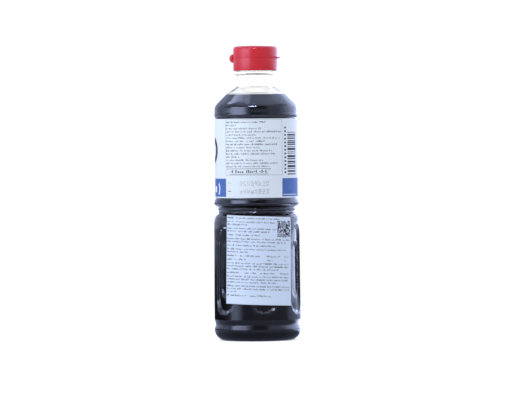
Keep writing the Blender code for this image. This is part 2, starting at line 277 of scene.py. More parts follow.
def body_side(segments):
    """The outside of the body from the foot of the neck to the base's round corner."""
    return rounded([
        (NECK_RADIUS, 192.0 * MM, 0.0),
        (NECK_RADIUS, NECK_BOTTOM, 0.5 * MM),
        (21.75 * MM, 182.8 * MM, 6.0 * MM),
        (SHOULDER_RADIUS, 173.75 * MM, 10.4 * MM),
        (SHOULDER_RADIUS, 168.8 * MM, 1.0 * MM),
        (SHOULDER_RADIUS + 0.2 * MM, 167.9 * MM, 0.5 * MM),
        (SHOULDER_RADIUS + 0.2 * MM, 167.0 * MM, 0.5 * MM),
        (LABEL_ZONE_RADIUS, 165.4 * MM, 0.6 * MM),
        (LABEL_ZONE_RADIUS, 105.3 * MM, 0.4 * MM),
        *(tuple(value * MM for value in corner) for corner in WAIST_CORNERS),
        (PANEL_ZONE_RADIUS, 83.0 * MM, 4.0 * MM),
        (PANEL_ZONE_RADIUS, 75.0 * MM, 3.0 * MM),
        (BODY_RADIUS, 28.0 * MM, 3.0 * MM),
        (BODY_RADIUS, 15.6 * MM, 1.2 * MM),
        (BODY_RADIUS - 0.75 * MM, 13.0 * MM, 0.8 * MM),
        (BODY_RADIUS - 0.95 * MM, 11.8 * MM, 0.4 * MM),
        (BODY_RADIUS, 9.0 * MM, 0.5 * MM),
        (BODY_RADIUS, BASE_CORNER_HEIGHT - 0.4 * MM, 0.0),
    ], segments)


def base_side(segments):
    """The base's round corner, the foot ring and the hollow under the base."""
    corner = (BODY_RADIUS - FOOT_OUTER_RADIUS, BASE_CORNER_HEIGHT)
    points = arc((FOOT_OUTER_RADIUS, BASE_CORNER_HEIGHT), corner, -6.0, -90.0, segments)
    dome = (FOOT_INNER_RADIUS - 1.0 * MM, PUSH_UP_HEIGHT)
    points.append((FOOT_INNER_RADIUS, 0.0))
    points += arc((0.0, 0.0), dome, 12.0, 90.0, segments)
    points[-1] = (0.0, PUSH_UP_HEIGHT)
    return points


def smooth(share):
    """A soft step from 0 to 1."""
    share = min(max(share, 0.0), 1.0)
    return share * share * (3.0 - 2.0 * share)


def stadium_depth(across, up, half_width, half_height, wall, end_wall):
    """How far down a recess with half-round, softer ends has sunk at a place, from 0 to 1."""
    beyond = max(abs(up) - (half_height - half_width), 0.0)
    out = math.hypot(across, beyond)
    endwise = (beyond / out) ** 2 if out > 0.0 else 0.0
    return smooth((half_width - out) / (wall + (end_wall - wall) * endwise))


def panel_depth(angle, height):
    """How deep the grip panels lie below the turned body at a place."""
    pitch = math.tau / PANEL_COUNT
    turns = (angle - math.radians(FIRST_PANEL_DEG)) / pitch
    across = (turns - round(turns)) * pitch * PANEL_ZONE_RADIUS
    up = height - PANEL_MIDDLE
    depth = OUTER_DEPTH * stadium_depth(
        across, up, OUTER_HALF_WIDTH, OUTER_HALF_HEIGHT, OUTER_WALL, OUTER_END_WALL
    )
    depth += INNER_DEPTH * stadium_depth(
        across, up, INNER_HALF_WIDTH, INNER_HALF_HEIGHT, INNER_WALL, INNER_END_WALL
    )
    return depth


# Meshes

def panel_columns():
    """Angles round the body, closest together across the walls of the grip panels."""
    half = [0.0]
    for start, end, count in HALF_SECTOR_STOPS:
        half += [start + (end - start) * (step + 1) / count for step in range(count)]
    sector = [-value for value in reversed(half[1:])] + half[:-1]
    angles = []
    for panel in range(PANEL_COUNT):
        middle = FIRST_PANEL_DEG + 360.0 * panel / PANEL_COUNT
        angles += [math.radians(middle + value) for value in sector]
    return angles


def even_columns(count):
    """Evenly spaced angles all the way round."""
    return [math.tau * index / count for index in range(count)]


def turned(name, outline, angles, carve=None):
    """Turn an outline, which may start or end on the axis, into a smooth mesh."""
    columns = len(angles)
    shape = bmesh.new()
    rows = []
    for radius, height in outline:
        if radius < 1e-6:
            rows.append([shape.verts.new((0.0, 0.0, height))])
            continue
        row = []
        for angle in angles:
            out = radius - carve(angle, height) if carve else radius
            row.append(shape.verts.new((out * math.sin(angle), -out * math.cos(angle), height)))
        rows.append(row)
    for upper, lower in zip(rows, rows[1:]):
        for column in range(columns):
            after = (column + 1) % columns
            if len(upper) == 1:
                shape.faces.new((upper[0], lower[column], lower[after]))
            elif len(lower) == 1:
                shape.faces.new((upper[column], lower[0], upper[after]))
            else:
                shape.faces.new((upper[column], lower[column], lower[after], upper[after]))
    bmesh.ops.recalc_face_normals(shape, faces=shape.faces)
    return to_object(shape, name)


def to_object(shape, name):
    """Make a smooth-shaded object of a bmesh."""
    mesh = bpy.data.meshes.new(name)
    shape.to_mesh(mesh)
    shape.free()
    mesh.shade_smooth()
    return new_object(name, mesh)


def join_rings(shape, rings):
    """Join rows of corners into a closed solid with flat ends."""
    for here, there in zip(rings, rings[1:]):
        for side in range(len(here)):
            after = (side + 1) % len(here)
            shape.faces.new((here[side], here[after], there[after], there[side]))
    shape.faces.new(rings[0])
    shape.faces.new(list(reversed(rings[-1])))


def slab(shape, lower, upper, place, low, high, closed=False):
    """Add a thin solid strip between two rows of flat points laid on a surface."""
    rings = []
    for below, above in zip(lower, upper):
        rings.append([
            shape.verts.new(place(*below, low)),
            shape.verts.new(place(*above, low)),
            shape.verts.new(place(*above, high)),
            shape.verts.new(place(*below, high)),
        ])
    last = len(rings) if closed else len(rings) - 1
    for index in range(last):
        here = rings[index]
        there = rings[(index + 1) % len(rings)]
        for side in range(4):
            after = (side + 1) % 4
            shape.faces.new((here[side], there[side], there[after], here[after]))
    if not closed:
        shape.faces.new(rings[0])
        shape.faces.new(list(reversed(rings[-1])))


def add_bar(shape, left, right, bottom, top, place, low=-INK_DEPTH, high=INK_LIFT):
    """Add a printed rectangle."""
    pieces = max(1, math.ceil((right - left) / INK_STEP))
    steps = [left + (right - left) * index / pieces for index in range(pieces + 1)]
    slab(shape, [(step, bottom) for step in steps], [(step, top) for step in steps], place, low, high)


def add_ring(shape, middle, radius, width, place, start_deg=0.0, end_deg=360.0):
    """Add a printed ring or a part of one."""
    whole = abs(end_deg - start_deg) >= 360.0
    count = max(8, round(abs(end_deg - start_deg) / INK_STEP_DEG))
    inner = []
    outer = []
    for index in range(count if whole else count + 1):
        angle = math.radians(start_deg + (end_deg - start_deg) * index / count)
        across = math.cos(angle)
        up = math.sin(angle)
        near = radius - width / 2.0
        far = radius + width / 2.0
        inner.append((middle[0] + near * across, middle[1] + near * up))
        outer.append((middle[0] + far * across, middle[1] + far * up))
    slab(shape, inner, outer, place, -INK_DEPTH, INK_LIFT, closed=whole)


def add_line_of_marks(shape, left, right, middle, height, weight, place, draw):
    """Add a line of small plain blocks grouped as words are."""
    across = left
    while across < right - height * 0.5:
        for _ in range(draw.randint(2, 8)):
            width = height * draw.uniform(0.28, 0.5) * weight
            if across + width > right:
                return
            bottom = middle - height * draw.choice((0.5, 0.5, 0.5, 0.2))
            top = middle + height * draw.choice((0.1, 0.15, 0.2, 0.5, 0.5))
            add_bar(shape, across, across + width, bottom, top, place)
            across += width + height * draw.uniform(0.2, 0.42)
        across += height * draw.uniform(0.55, 0.95)


def on_label(along, height, lift):
    """A place on the wrap label from its arc length and its height."""
    radius = LABEL_RADIUS + lift
    angle = along / LABEL_RADIUS
    return (radius * math.sin(angle), -radius * math.cos(angle), height)


def on_sticker(across, up, lift):
    """A place on the sticker from its own flat coordinates, measured from its middle."""
    tilt = math.radians(STICKER_TILT_DEG)
    height = STICKER_MIDDLE + up * math.cos(tilt) + across * math.sin(tilt)
    along = across * math.cos(tilt) - up * math.sin(math.radians(STICKER_LEAN_DEG))
    angle = math.radians(STICKER_MIDDLE_DEG) + along / PANEL_ZONE_RADIUS
    radius = max(body_radius(height), body_radius(STICKER_SPAN_TOP)) + STICKER_GAP + lift
    return (radius * math.sin(angle), -radius * math.cos(angle), height)


def body_radius(height):
    """Radius of the turned body, without its panels, on its lower half."""
    for before, after in zip(BODY_SIDE, BODY_SIDE[1:]):
        if before[1] >= height > after[1] and after[1] < WAIST_MIDDLE:
            share = (before[1] - height) / (before[1] - after[1])
            return before[0] + share * (after[0] - before[0])
    return BODY_RADIUS


BODY_SIDE = body_side(4)


# Materials

def shader_of(material):
    """The material's Principled shader."""
    return material.node_tree.nodes["Principled BSDF"]


def new_material(name, colour, roughness, **settings):
    """A Principled material with its plain numbers set on the shader itself."""
    material = bpy.data.materials.new(name)
    material.use_nodes = True
    shader = shader_of(material)
    shader.inputs["Base Color"].default_value = (*colour, 1.0)
    shader.inputs["Roughness"].default_value = roughness
    for socket, value in settings.items():
        shader.inputs[socket.replace("_", " ")].default_value = value
    return material


def add_node(material, kind, **inputs):
    """Add a shader node and set its inputs."""
    node = material.node_tree.nodes.new(kind)
    for socket, value in inputs.items():
        node.inputs[socket.replace("_", " ")].default_value = value
    return node


def grain(material, scale, stretch=(1.0, 1.0, 1.0), detail=3.0):
    """Noise over the object in its own metres."""
    tree = material.node_tree
    place = add_node(material, "ShaderNodeTexCoord")
    spread = add_node(material, "ShaderNodeMapping", Scale=stretch)
    noise = add_node(material, "ShaderNodeTexNoise", Scale=scale, Detail=detail)
    tree.links.new(place.outputs["Object"], spread.inputs["Vector"])
    tree.links.new(spread.outputs["Vector"], noise.inputs["Vector"])
    return noise.outputs["Fac"]


def vary_colour(material, noise, first, second):
    """Drift the base colour between two near colours."""
    tree = material.node_tree
    ramp = add_node(material, "ShaderNodeValToRGB")
    ramp.color_ramp.elements[0].position = 0.35
    ramp.color_ramp.elements[1].position = 0.65
    ramp.color_ramp.elements[0].color = (*first, 1.0)
    ramp.color_ramp.elements[1].color = (*second, 1.0)
    tree.links.new(noise, ramp.inputs["Fac"])
    tree.links.new(ramp.outputs["Color"], shader_of(material).inputs["Base Color"])


def vary_roughness(material, noise, low, high):
    """Drift the roughness between two values."""
    tree = material.node_tree
    spread = add_node(material, "ShaderNodeMapRange", To_Min=low, To_Max=high)
    tree.links.new(noise, spread.inputs["Value"])
    tree.links.new(spread.outputs["Result"], shader_of(material).inputs["Roughness"])


def add_bump(material, noise, strength, distance):
    """Raise the surface a little by noise."""
    tree = material.node_tree
    bump = add_node(material, "ShaderNodeBump", Strength=strength, Distance=distance)
    tree.links.new(noise, bump.inputs["Height"])
    tree.links.new(bump.outputs["Normal"], shader_of(material).inputs["Normal"])


def make_plastic():
    """Clear, slightly wavy blown plastic."""
    material = new_material(
        "clear_plastic", (1.0, 1.0, 1.0), 0.02, IOR=1.57, Transmission_Weight=1.0
    )
    waves = grain(material, 60.0, (1.0, 1.0, 0.5), 2.0)
    add_bump(material, waves, 0.25, 0.2 * MM)
    vary_roughness(material, grain(material, 300.0), 0.01, 0.05)
    return material


def make_sauce_look():
    """Near-black brown sauce."""
    material = new_material("dark_sauce", (0.01, 0.006, 0.005), 0.5, Specular_IOR_Level=0.0)
    vary_colour(material, grain(material, 40.0), (0.006, 0.005, 0.006), (0.01, 0.007, 0.006))
    return material


def make_red():
    """Glossy red moulded plastic."""
    material = new_material("red_plastic", (0.56, 0.021, 0.035), 0.2, Specular_IOR_Level=0.36)
    drift = grain(material, 90.0)
    vary_colour(material, drift, (0.54, 0.02, 0.034), (0.58, 0.022, 0.036))
    vary_roughness(material, grain(material, 300.0), 0.17, 0.23)
    add_bump(material, grain(material, 250.0), 0.05, 0.02 * MM)
    return material


def make_film():
    """White printed film."""
    material = new_material("label_film", (0.67, 0.765, 0.905), 0.4, Specular_IOR_Level=0.3)
    vary_colour(material, grain(material, 50.0), (0.66, 0.755, 0.895), (0.68, 0.775, 0.915))
    vary_roughness(material, grain(material, 400.0), 0.35, 0.5)
    add_bump(material, grain(material, 250.0, (1.0, 1.0, 0.3)), 0.1, 0.05 * MM)
    return material


def make_paper():
    """Pale blue-white sticker paper."""
    material = new_material("sticker_paper", (0.58, 0.7, 0.93), 0.55, Specular_IOR_Level=0.25)
    vary_colour(material, grain(material, 60.0), (0.57, 0.69, 0.92), (0.59, 0.71, 0.94))
    add_bump(material, grain(material, 1500.0), 0.15, 0.02 * MM)
    return material


def make_ink(name, colour):
    """Printing ink with a slightly uneven tone."""
    material = new_material(name, colour, 0.5, Specular_IOR_Level=0.25)
    darker = tuple(part * 0.9 for part in colour)
    vary_colour(material, grain(material, 300.0), darker, colour)
    return material


# Pieces

def make_bottle(material):
    """The clear bottle: outside up from the underside, over the lip and down the inside."""
    outside = rounded([
        (BORE_RADIUS, MOUTH_TOP, 0.0),
        (FINISH_RADIUS, MOUTH_TOP, 0.5 * MM),
        (FINISH_RADIUS, 199.7 * MM, 0.3 * MM),
        (RING_RADIUS, 199.4 * MM, 0.4 * MM),
        (RING_RADIUS, 197.3 * MM, 0.4 * MM),
        (NECK_RADIUS, 197.1 * MM, 0.3 * MM),
        (NECK_RADIUS, 193.0 * MM, 0.0),
    ], 4)
    outside = refine(outside + BODY_SIDE[1:] + base_side(12))
    throat = rounded([
        (BORE_RADIUS, MOUTH_TOP, 0.0),
        (BORE_RADIUS, 204.0 * MM, 2.0 * MM),
        (13.0 * MM, 201.0 * MM, 2.0 * MM),
        (13.0 * MM, 187.7 * MM, 1.1 * MM),
        (21.45 * MM, 182.3 * MM, 0.0),
    ], 4)
    below = [point for point in body_side(1) if point[1] < 181.0 * MM]
    inside = inset(below + base_side(8), WALL)
    inside[-1] = (0.0, PUSH_UP_HEIGHT + WALL)
    inside = refine(throat[1:] + inside, 0.4)
    shell = list(reversed(outside)) + inside
    bottle = turned("bottle_shell", shell, panel_columns(), panel_depth)
    return declare(bottle, "bottle", material)


def make_sauce(material):
    """The sauce, which reaches just into the bottle's wall."""
    reach = WALL * 0.5
    side = inset(BODY_SIDE + base_side(8), reach)
    side[-1] = (0.0, PUSH_UP_HEIGHT + reach)
    side = below_level(side, LIQUID_LEVEL)
    top = [(0.0, LIQUID_LEVEL), (side[0][0] - 0.6 * MM, LIQUID_LEVEL)]
    sauce = turned("sauce_body", refine(top + side, 0.8), panel_columns(), panel_depth)
    return declare(sauce, "sauce", material)


def make_cap_base(material):
    """The skirt and the deck of the cap."""
    top = CAP_PARTING - LID_GAP
    deck = top - DECK_THICKNESS
    outline = rounded([
        (0.0, top, 0.0),
        (CAP_RADIUS, top, 0.09 * MM),
        (CAP_RADIUS, CAP_BOTTOM, 0.35 * MM),
        (CAP_RADIUS - CAP_WALL, CAP_BOTTOM, 0.3 * MM),
        (CAP_RADIUS - CAP_WALL, deck, 0.5 * MM),
        (0.0, deck, 0.0),
    ])
    base = turned("cap_skirt", outline, even_columns(CAP_COLUMNS))
    return declare(base, "cap_base", material)


def make_cap_lid(material):
    """The lid of the cap."""
    inside = CAP_RADIUS - CAP_WALL
    outline = rounded([
        (0.0, CAP_TOP, 0.0),
        (CAP_RADIUS * 0.6, CAP_TOP - CAP_DOME * 0.25, 8.0 * MM),
        (CAP_RADIUS, CAP_TOP - CAP_DOME, CAP_TOP_CORNER),
        (CAP_RADIUS, CAP_PARTING, 0.09 * MM),
        (inside, CAP_PARTING, 0.2 * MM),
        (inside, CAP_TOP - CAP_DOME - CAP_WALL, 2.0 * MM),
        (0.0, CAP_TOP - CAP_DOME - CAP_WALL, 0.0),
    ], 10)
    lid = turned("cap_lid_shell", outline, even_columns(CAP_COLUMNS))
    return declare(lid, "cap_lid", material)


def make_tab(material):
    """The thumb tab, a thin crescent on the lid's lower edge."""
    out = TAB_REACH - TAB_CURVE_RADIUS
    bottom = CAP_PARTING - TAB_DROP
    shape = bmesh.new()
    rim_radius = CAP_RADIUS - 0.4 * MM
    rings = []
    for index in range(TAB_STEPS + 1):
        angle = math.radians(TAB_HALF_SPREAD_DEG * (2.0 * index / TAB_STEPS - 1.0))
        ray = Vector((math.sin(angle), math.cos(angle)))
        along = out * ray.y
        reach = along + math.sqrt(TAB_CURVE_RADIUS**2 - out**2 + along**2)
        reach = max(reach, rim_radius + 0.05 * MM)
        corners = [
            (rim_radius, bottom),
            (reach - 0.5 * MM, bottom + 0.3 * MM),
            (reach, bottom + 0.65 * MM),
            (reach - 0.3 * MM, bottom + 1.05 * MM),
            (rim_radius, bottom + TAB_THICKNESS),
        ]
        rings.append([shape.verts.new((ray.x * far, -ray.y * far, up)) for far, up in corners])
    join_rings(shape, rings)
    bmesh.ops.recalc_face_normals(shape, faces=shape.faces)
    bmesh.ops.rotate(shape, matrix=Matrix.Rotation(math.radians(TAB_DEG), 3, "Z"), verts=shape.verts)
    tab = to_object(shape, "thumb_tab")
    return declare(tab, "cap_lid", material)


def make_hinge(material):
    """The folded hinge strap that arches out from the side of the cap."""
    root = CAP_RADIUS - 0.7 * MM
    outer_radii = (HINGE_REACH - root, HINGE_HALF_HEIGHT)
    inner_radii = (HINGE_REACH - HINGE_THICKNESS - root, HINGE_HALF_HEIGHT - HINGE_THICKNESS)
    outer = arc((root, HINGE_MIDDLE), outer_radii, -90.0, 90.0, HINGE_STEPS)
    inner = arc((root, HINGE_MIDDLE), inner_radii, -90.0, 90.0, HINGE_STEPS)
    shape = bmesh.new()
    rings = []
    half = HINGE_WIDTH / 2.0
    for (far, up), (near, level) in zip(outer, inner):
        rings.append([
            shape.verts.new((-half, -far, up)),
            shape.verts.new((half, -far, up)),
            shape.verts.new((half, -near, level)),
            shape.verts.new((-half, -near, level)),
        ])
    join_rings(shape, rings)
    web_half = half * HINGE_WEB_SHARE
    web = [shape.verts.new((-web_half, -near, level)) for near, level in inner]
    other = [shape.verts.new((web_half, -near, level)) for near, level in inner]
    for index in range(len(web) - 1):
        shape.faces.new((web[index], web[index + 1], other[index + 1], other[index]))
    shape.faces.new((web[-1], web[0], other[0], other[-1]))
    shape.faces.new(web)
    shape.faces.new(list(reversed(other)))
    bmesh.ops.recalc_face_normals(shape, faces=shape.faces)
    bmesh.ops.rotate(shape, matrix=Matrix.Rotation(math.radians(HINGE_DEG), 3, "Z"), verts=shape.verts)
    strap = to_object(shape, "hinge_strap")
    bevel = strap.modifiers.new("soft_edges", "BEVEL")
    bevel.width = 0.2 * MM
    bevel.segments = 3
    bevel.limit_method = "ANGLE"
    return declare(strap, "cap_base", material)


def make_wrap_label(material):
    """The film that wraps the upper half of the body."""
    inner = LABEL_ZONE_RADIUS + LABEL_GAP
    outline = rounded([
        (inner, LABEL_TOP, 0.0),
        (LABEL_RADIUS, LABEL_TOP, 0.05 * MM),
        (LABEL_RADIUS, LABEL_BOTTOM, 0.05 * MM),
        (inner, LABEL_BOTTOM, 0.0),
        (inner, LABEL_TOP, 0.0),
    ], 2)
    label = turned("label_wrap", outline, even_columns(LABEL_COLUMNS))
    return declare(label, "wrap_label", material)


def make_sticker(material):
    """The sticker on the lower half."""
    shape = bmesh.new()
    grid = []
    for row in range(STICKER_CELLS + 1):
        up = STICKER_HEIGHT * (row / STICKER_CELLS - 0.5)
        line = []
        for column in range(STICKER_CELLS + 1):
            across = STICKER_WIDTH * (column / STICKER_CELLS - 0.5)
            line.append(shape.verts.new(on_sticker(across, up, 0.0)))
        grid.append(line)
    for low, high in zip(grid, grid[1:]):
        for column in range(STICKER_CELLS):
            shape.faces.new((low[column], low[column + 1], high[column + 1], high[column]))
    sticker = to_object(shape, "sticker_sheet")
    solidify = sticker.modifiers.new("thickness", "SOLIDIFY")
    solidify.thickness = STICKER_THICKNESS
    solidify.offset = 1.0
    return declare(sticker, "back_sticker", material)


def ink_object(shape, name, material):
    """Finish a mesh of print."""
    bmesh.ops.recalc_face_normals(shape, faces=shape.faces)
    item = to_object(shape, name)
    item.data.shade_flat()
    return declare(item, None, material)


def label_ink(shape, name, material):
    """Finish a mesh of print on the label."""
    return ink_object(shape, "label_" + name, material)


# Print on the label

BAND_TOP = 120.3 * MM
BAND_FOOT = 0.9 * MM
BAND_LEFT_END = -25.2 * MM
BAND_RIGHT_END = 20.6 * MM
OVER_BAND_LIFT = 0.02 * MM
TEXT_LEFT = -24.7 * MM
TEXT_TOP = 161.8 * MM
TEXT_PITCH = 2.33 * MM
TEXT_HEIGHT = 1.25 * MM
TEXT_LINE_ENDS = (7.4, -15.1, 5.1, 19.7, 0.3, 19.2, 6.9, 16.0, 3.8, 12.2, 15.5, -12.9, 6.7, 16.3, 10.5)
BOLD_LINES = (0, 7)
BOLD_WEIGHT = 1.3
TEXT_FRAME_BOTTOM = (122.7 * MM, 122.9 * MM)
TEXT_FRAME_TOP = (163.6 * MM, 163.75 * MM)
TEXT_FRAME_SIDE = 0.15 * MM

SLANT_LEFT = TEXT_LEFT + 0.6 * MM
SLANT_RIGHT = 10.9 * MM
SLANT_BOTTOM = 123.4 * MM
SLANT_TOP = 127.6 * MM
SLANT_LEAN = 3.0 * MM
SLANT_LINE = 0.3 * MM
NUMBER_MIDDLE = 125.5 * MM
NUMBER_HEIGHT = 2.2 * MM

BARS_LEFT = 26.2 * MM
BARS_RIGHT = 38.0 * MM
BARS_BOTTOM = 122.9 * MM
BARS_TOP = 155.3 * MM
BARS_LAST_START = 154.6 * MM
BLOCKS_LEFT = 22.9 * MM
BLOCKS_RIGHT = 24.6 * MM
BLOCKS_BOTTOM = 124.0 * MM
BLOCKS_TOP = 159.0 * MM
BLOCK_HEIGHT = 1.3 * MM
BLOCK_PITCH = 2.75 * MM

DOT_ROW_MIDDLES = (116.6 * MM, 110.7 * MM)
DOTS_LEFT = -12.6 * MM
DOT_CELLS = 8
DOT_CELL_PITCH = 2.85 * MM
DOTS_ACROSS = 4
DOTS_UP = 6
DOT_PITCH_ACROSS = 0.52 * MM
DOT_PITCH_UP = 0.62 * MM
DOT_SIZE = 0.34 * MM
DOT_FILL = 0.5
TICK_LEFT = -22.8 * MM
TICK_RIGHT = -19.4 * MM
TICK_MIDDLES = (117.0 * MM, 111.0 * MM)
TICK_HEIGHT = 1.0 * MM
TICK_WEIGHT = 1.2

RING_MIDDLE = (-46.4 * MM, 141.3 * MM)
RING_LINES = 4
RING_INNER_RADIUS = 5.95 * MM
RING_LINE_PITCH = 1.1 * MM
RING_LINE_WIDTH = 1.12 * MM
BADGE_MIDDLE = (-39.5 * MM, 112.6 * MM)
BADGE_RADIUS = 6.2 * MM
BADGE_WIDTH = 1.4 * MM
BADGE_HALF_DEG = 40.0
BADGE_BLOCK = (-43.0 * MM, -38.8 * MM, 110.2 * MM, 114.6 * MM)
BAND_LINE = (BAND_RIGHT_END + 1.0 * MM, 40.0 * MM, 108.1 * MM, 108.5 * MM)

FIELD_HALF_WIDTH = 15.0 * MM
FIELD_BOTTOM = 133.0 * MM
FIELD_TOP = 156.0 * MM
STRIPE_HALF_WIDTH = 11.0 * MM
STRIPE_BOTTOM = 138.0 * MM
STRIPE_PITCH = 5.5 * MM
STRIPE_HEIGHT = 2.6 * MM


def over_band(along, height, lift):
    """A place on the wrap label just above a printed field."""
    return on_label(along, height, lift + OVER_BAND_LIFT)


def print_band(blue):
    """The blue band round the label's foot, open where the dotted rows are."""
    band = bmesh.new()
    end = math.tau * LABEL_RADIUS + BAND_LEFT_END
    add_bar(band, BAND_RIGHT_END, end, LABEL_BOTTOM + BAND_FOOT, BAND_TOP, on_label)
    label_ink(band, "band", blue)


def print_text(grey, dark, draw):
    """The framed block of small lines."""
    text = bmesh.new()
    bold = bmesh.new()
    for index, line_end in enumerate(TEXT_LINE_ENDS):
        middle = TEXT_TOP - index * TEXT_PITCH
        target, weight = (bold, BOLD_WEIGHT) if index in BOLD_LINES else (text, 1.0)
        add_line_of_marks(
            target, TEXT_LEFT, line_end * MM, middle, TEXT_HEIGHT, weight, on_label, draw
        )
    for bottom, top in (TEXT_FRAME_BOTTOM, TEXT_FRAME_TOP):
        add_bar(text, BAND_LEFT_END, BAND_RIGHT_END, bottom, top, on_label)
    for left in (BAND_LEFT_END, BAND_RIGHT_END):
        add_bar(text, left, left + TEXT_FRAME_SIDE, TEXT_FRAME_BOTTOM[0], TEXT_FRAME_TOP[0], on_label)
    label_ink(text, "text", grey)
    label_ink(bold, "bold_text", dark)


def print_number_frame(dark, draw):
    """A frame with slanting sides round one line of larger marks."""
    shape = bmesh.new()
    left, right = SLANT_LEFT, SLANT_RIGHT
    bottom, top = SLANT_BOTTOM, SLANT_TOP
    lean, line = SLANT_LEAN, SLANT_LINE
    add_bar(shape, left, right, top - line, top, on_label)
    add_bar(shape, left + lean, right - lean, bottom, bottom + line, on_label)
    for side, slope in ((left, lean), (right - line, -lean)):
        lower = [(side + slope, bottom), (side + slope + line, bottom)]
        upper = [(side, top), (side + line, top)]
        slab(shape, lower, upper, on_label, -INK_DEPTH, INK_LIFT)
    start = left + lean + 0.6 * MM
    end = right - lean - 0.4 * MM
    add_line_of_marks(shape, start, end, NUMBER_MIDDLE, NUMBER_HEIGHT, 1.0, on_label, draw)
    label_ink(shape, "number_frame", dark)


def print_bars(dark, draw):
    """A column of level stripes beside a column of small blocks."""
    bars = bmesh.new()
    height = BARS_BOTTOM
    while height < BARS_LAST_START:
        thickness = draw.choice((0.5, 0.9, 1.3, 1.7)) * MM
        add_bar(bars, BARS_LEFT, BARS_RIGHT, height, min(height + thickness, BARS_TOP), on_label)
        height += thickness + draw.choice((0.4, 0.6, 1.0)) * MM
    height = BLOCKS_BOTTOM
    while height < BLOCKS_TOP:
        add_bar(bars, BLOCKS_LEFT, BLOCKS_RIGHT, height, height + BLOCK_HEIGHT, on_label)
        height += BLOCK_PITCH
    label_ink(bars, "bars", dark)


def print_dotted_rows(grey, dark, draw):
    """Two rows of dotted cells, each with a few marks before it."""
    dots = bmesh.new()
    half = DOT_SIZE / 2.0
    for row_middle in DOT_ROW_MIDDLES:
        for cell in range(DOT_CELLS):
            left = DOTS_LEFT + cell * DOT_CELL_PITCH
            for column in range(DOTS_ACROSS):
                for row in range(DOTS_UP):
                    if draw.random() < DOT_FILL:
                        across = left + column * DOT_PITCH_ACROSS
                        up = row_middle + (row - DOTS_UP / 2.0 + 0.5) * DOT_PITCH_UP
                        add_bar(dots, across, across + DOT_SIZE, up - half, up + half, on_label)
    label_ink(dots, "dots", grey)
    ticks = bmesh.new()
    for row_middle in TICK_MIDDLES:
        add_line_of_marks(
            ticks, TICK_LEFT, TICK_RIGHT, row_middle, TICK_HEIGHT, TICK_WEIGHT, on_label, draw
        )
    label_ink(ticks, "ticks", dark)


def print_ring(dark):
    """A plain thick ring, drawn as rings inside each other so that it follows the film."""
    ring = bmesh.new()
    for step in range(RING_LINES):
        radius = RING_INNER_RADIUS + step * RING_LINE_PITCH
        add_ring(ring, RING_MIDDLE, radius, RING_LINE_WIDTH, on_label)
    label_ink(ring, "ring", dark)


def print_on_band(white):
    """A white arc, block and thin line on the blue band."""
    badge = bmesh.new()
    add_ring(badge, BADGE_MIDDLE, BADGE_RADIUS, BADGE_WIDTH, over_band, -BADGE_HALF_DEG, BADGE_HALF_DEG)
    add_bar(badge, *BADGE_BLOCK, over_band)
    add_bar(badge, *BAND_LINE, over_band)
    label_ink(badge, "badge", white)


def print_front(blue, white):
    """A plain striped field on the side away from the small print."""
    middle = math.tau * LABEL_RADIUS / 2.0
    field = bmesh.new()
    left, right = middle - FIELD_HALF_WIDTH, middle + FIELD_HALF_WIDTH
    add_bar(field, left, right, FIELD_BOTTOM, FIELD_TOP, on_label)
    label_ink(field, "front_field", blue)
    stripes = bmesh.new()
    left, right = middle - STRIPE_HALF_WIDTH, middle + STRIPE_HALF_WIDTH
    for row in range(3):
        up = STRIPE_BOTTOM + STRIPE_PITCH * row
        add_bar(stripes, left, right, up, up + STRIPE_HEIGHT, over_band)
    label_ink(stripes, "front_stripes", white)


def make_label_print(dark, grey, blue, white):
    """Everything printed on the wrap label."""
    draw = random.Random(7)
    print_band(blue)
    print_text(grey, dark, draw)
    print_number_frame(dark, draw)
    print_bars(dark, draw)
    print_dotted_rows(grey, dark, draw)
    print_ring(dark)
    print_on_band(white)
    print_front(blue, white)


# Print on the sticker

# Each string is a line, given as its runs of marks in percent of the width.
STICKER_PARAGRAPHS = (
    ("0-82",), ("0-74", "0-32"), ("0-75", "0-65"), ("0-53",), ("0-100", "0-91"), ("0-74",),
    ("0-94", "0-33"), ("0-17 22-52 61-82 89-98",), ("0-17 19-31 61-70 89-95",),
    ("0-97", "0-97", "0-78"), ("0-20 29-47 51-73 81-98",), ("0-97", "0-98", "0-77"),
    ("0-98", "0-98", "0-17"), ("0-32 37-67",),
)
STICKER_MARGIN = 0.9 * MM
STICKER_FIRST_LINE = 1.8 * MM
STICKER_LINE_PITCH = 2.14 * MM
STICKER_PARAGRAPH_PITCH = 2.74 * MM
STICKER_MARK_SIZE = (1.2 * MM, 1.05)
STICKER_BOLD_SIZE = (1.3 * MM, 1.2)
LEAD_WORD_SHARE = 0.13
LEAD_GAP_SHARE = 0.145
CODE_MODULES = 21
CODE_SIDE = 12.2 * MM
CODE_TOP_MARGIN = 2.9 * MM
CODE_FILL = 0.58


def over_sticker(across, up, lift):
    """A place on top of the sticker from its own flat coordinates."""
    return on_sticker(across, up, lift + STICKER_THICKNESS)


